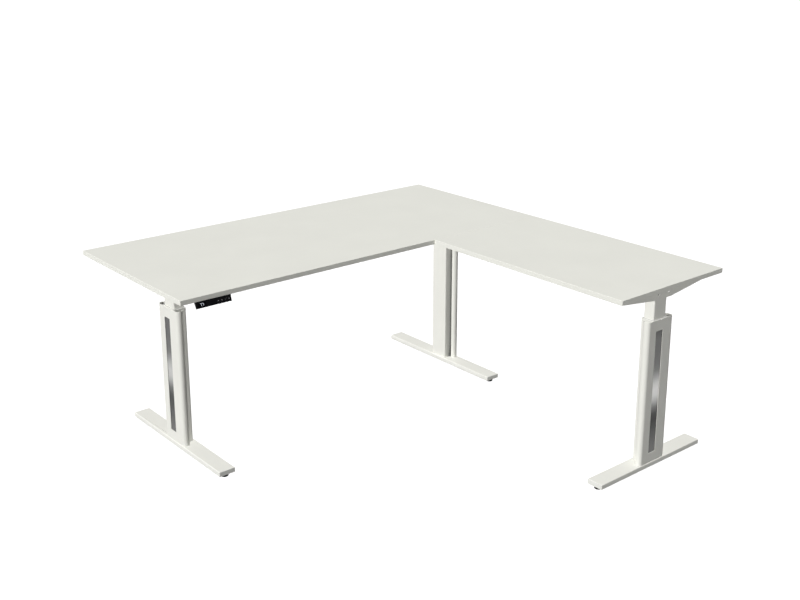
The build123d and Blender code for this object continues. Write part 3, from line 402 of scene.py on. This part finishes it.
def round_edges(node, width):
    """A small rounding along a node's sharp edges."""
    weld = node.modifiers.new("weld", "WELD")
    weld.merge_threshold = WELD_DISTANCE
    bevel = node.modifiers.new("edge_rounding", "BEVEL")
    bevel.width = width
    bevel.segments = EDGE_SEGMENTS
    bevel.limit_method = "ANGLE"
    bevel.angle_limit = EDGE_ANGLE
    bevel.use_clamp_overlap = True
    normals = node.modifiers.new("normals", "WEIGHTED_NORMAL")
    normals.keep_sharp = True


def finish_cad_nodes():
    """Give every CAD node its finish and its edges."""
    for entry in record["subparts"]:
        node = nodes[entry["node"]]
        slot = entry["material_slot"]
        node.data.materials.clear()
        node.data.materials.append(FINISHES[slot])
        if slot in EDGE_ROUNDING and not node.name.endswith(SHARP_NODES):
            round_edges(node, EDGE_ROUNDING[slot])


# ------------------------------------------------------------------ hand controller details
# How far the controller's face drops, in millimetres, for how far it leans.
FACE_DROP = 23.5
FACE_LEAN = 6.0
FACE_SLOPE = math.atan2(FACE_DROP, FACE_LEAN)

MARK_THICKNESS = 0.00015
MARK_NOISE_SCALE = 900
MARK_NOISE_DETAIL = 1

DISPLAY_DIGITS = "77"
DIGIT_HEIGHT = 0.0108
DIGIT_WIDTH = 0.0058
DIGIT_STROKE = 0.0013
DIGIT_PITCH = 0.0080
DIGIT_GAP_IN_STROKES = 0.12
DIGIT_DIM = (0.72, 0.76, 0.86)
DIGIT_BRIGHT = (0.82, 0.86, 0.95)
DIGIT_GLOW = 0.40
# Lit segments of each digit: a top, b and c right, d bottom, e left below, g middle.
SEGMENTS = {"1": "bc", "2": "abged", "7": "abc"}

KEY_MARK_DIM = (0.30, 0.30, 0.31)
KEY_MARK_BRIGHT = (0.36, 0.36, 0.37)
KEY_MARK_ROUGHNESS = 0.55
KEY_DIGIT_SCALE = 0.48
KEY_ONE_SHIFT = -0.0010
ARROW_HALF_WIDTH = 0.0022
ARROW_FOOT = -0.0013
ARROW_TIP = 0.0022


def plate(name, outlines, place, mat, body):
    """Flat raised marks: closed outlines in a plane, extruded a little way."""
    mesh = bpy.data.meshes.new(name)
    shape = bmesh.new()
    for outline in outlines:
        bottom = [shape.verts.new((x, y, 0)) for x, y in outline]
        top = [shape.verts.new((x, y, MARK_THICKNESS)) for x, y in outline]
        shape.faces.new(top)
        shape.faces.new(bottom[::-1])
        count = len(outline)
        for i in range(count):
            j = (i + 1) % count
            shape.faces.new((bottom[i], bottom[j], top[j], top[i]))
    bmesh.ops.recalc_face_normals(shape, faces=shape.faces)
    shape.to_mesh(mesh)
    shape.free()
    piece = bpy.data.objects.new(name, mesh)
    mesh.transform(place)
    mesh.materials.append(mat)
    bpy.context.scene.collection.objects.link(piece)
    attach(piece, body)
    return piece


def outer_face(node):
    """Matrix that puts marks on a flat piece of the sloping face: x along, y up, z outwards."""
    low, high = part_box(node)
    tall = high.z - low.z
    deep = high.y - low.y
    slope_sin = math.sin(FACE_SLOPE)
    slope_cos = math.cos(FACE_SLOPE)
    thickness = (tall * slope_cos - deep * slope_sin) / (slope_cos ** 2 - slope_sin ** 2)
    turn = Matrix.Rotation(FACE_SLOPE, 4, "X")
    out = turn @ Vector((0, 0, 1))
    return Matrix.Translation((low + high) / 2 + out * (thickness / 2)) @ turn


def bar(x, y, width, height):
    """One segment of a digit, with pointed ends along its longer side."""
    if width > height:
        tip = height / 2
        return [(x, y + tip), (x + tip, y), (x + width - tip, y), (x + width, y + tip),
                (x + width - tip, y + height), (x + tip, y + height)]
    tip = width / 2
    return [(x + tip, y), (x + width, y + tip), (x + width, y + height - tip),
            (x + tip, y + height), (x, y + height - tip), (x, y + tip)]


def digit_outlines(character, x, scale=1.0):
    """The lit segments of one seven-segment digit whose middle is at x."""
    wide = DIGIT_WIDTH * scale
    high = DIGIT_HEIGHT * scale
    stroke = DIGIT_STROKE * scale
    gap = stroke * DIGIT_GAP_IN_STROKES
    left = x - wide / 2
    right = left + wide - stroke
    foot = -high / 2
    half = (high - stroke) / 2
    middle = foot + half
    lower = foot + stroke / 2 + gap
    upper = middle + stroke / 2 + gap
    across = wide - 2 * gap
    along = half - 2 * gap
    bars = {
        "a": (left + gap, foot + 2 * half, across, stroke),
        "g": (left + gap, middle, across, stroke),
        "d": (left + gap, foot, across, stroke),
        "e": (left, lower, stroke, along),
        "b": (right, upper, stroke, along),
        "c": (right, lower, stroke, along),
    }
    return [bar(*bars[name]) for name in SEGMENTS[character]]


def mark_tone(paint, dim, bright):
    """A faintly uneven tone between two colours."""
    tone = paint.noise(MARK_NOISE_SCALE, MARK_NOISE_DETAIL)
    return paint.ramp(tone, [(NOISE_LOW, dim), (NOISE_HIGH, bright)])


def add_display_digits():
    """Two lit digits in the display window."""
    paint = Paint("display_digits")
    glow = mark_tone(paint, DIGIT_DIM, DIGIT_BRIGHT)
    paint.colour(glow)
    paint.link(glow, paint.shader.inputs["Emission Color"])
    paint.shader.inputs["Emission Strength"].default_value = DIGIT_GLOW
    outlines = []
    for number, character in enumerate(DISPLAY_DIGITS):
        outlines += digit_outlines(character, (number - 0.5) * DIGIT_PITCH)
    piece = plate("display_digits", outlines, outer_face("hand_controller_display"),
                  paint.material, "top")


def add_key_marks():
    """A pale mark on each key: arrows for up and down, numbers for the two memories."""
    paint = Paint("key_marks", roughness=KEY_MARK_ROUGHNESS)
    paint.colour(mark_tone(paint, KEY_MARK_DIM, KEY_MARK_BRIGHT))
    arrow = [(-ARROW_HALF_WIDTH, ARROW_FOOT), (ARROW_HALF_WIDTH, ARROW_FOOT), (0, ARROW_TIP)]
    marks = {
        "key_up": [arrow],
        "key_down": [[(x, -y) for x, y in reversed(arrow)]],
        "key_memory_one": digit_outlines("1", KEY_ONE_SHIFT, KEY_DIGIT_SCALE),
        "key_memory_two": digit_outlines("2", 0, KEY_DIGIT_SCALE),
    }
    for key, outlines in marks.items():
        piece = plate(f"{key}_mark", outlines, outer_face(key), paint.material, key)


# ------------------------------------------------------------------ make the scene
add_camera()
add_lights()
add_floor_and_backdrop()
finish_cad_nodes()
add_display_digits()
add_key_marks()
